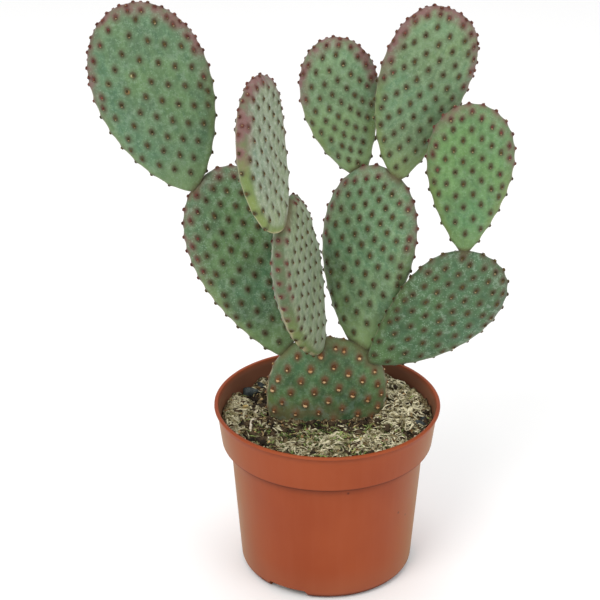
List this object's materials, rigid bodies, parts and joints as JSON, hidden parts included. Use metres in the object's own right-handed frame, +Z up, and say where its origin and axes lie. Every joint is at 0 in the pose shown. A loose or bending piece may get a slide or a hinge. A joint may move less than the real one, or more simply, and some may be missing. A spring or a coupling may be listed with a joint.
{
  "type": "potted cactus plant",
  "caption": "Paddle cactus with broad flat pads in branching tiers, rows of small bristly cushions, rooted in soil in a plain round plastic nursery pot.",
  "frame": {"origin": "centre of the pot's flat underside", "axes": "+Z up out of the pot, +X to the viewer's right and +Y away from the viewer"},
  "size_m": [0.2141, 0.12, 0.3103],
  "materials": {
    "pot_plastic": "satin moulded terracotta-coloured plastic",
    "potting_soil": "dry peat under pale dried moss",
    "skin_base": "waxy dark green pad skin",
    "skin_deep": "waxy blue-green pad skin",
    "skin_mid": "waxy grey-green pad skin",
    "skin_grey": "dusty pale grey-green pad skin",
    "skin_fresh": "fresh light green pad skin"
  },
  "bodies": {
    "root": {"pot": "pot_plastic", "soil": "potting_soil", "pad_base": "skin_base", "pad_lower_left": "skin_deep", "pad_top_left": "skin_mid", "pad_lower_front": "skin_grey", "pad_upper_front": "skin_grey", "pad_lower_mid": "skin_deep", "pad_upper_mid": "skin_mid", "pad_top_mid": "skin_mid", "pad_lower_right": "skin_deep", "pad_upper_right": "skin_fresh"}
  },
  "joints": []
}
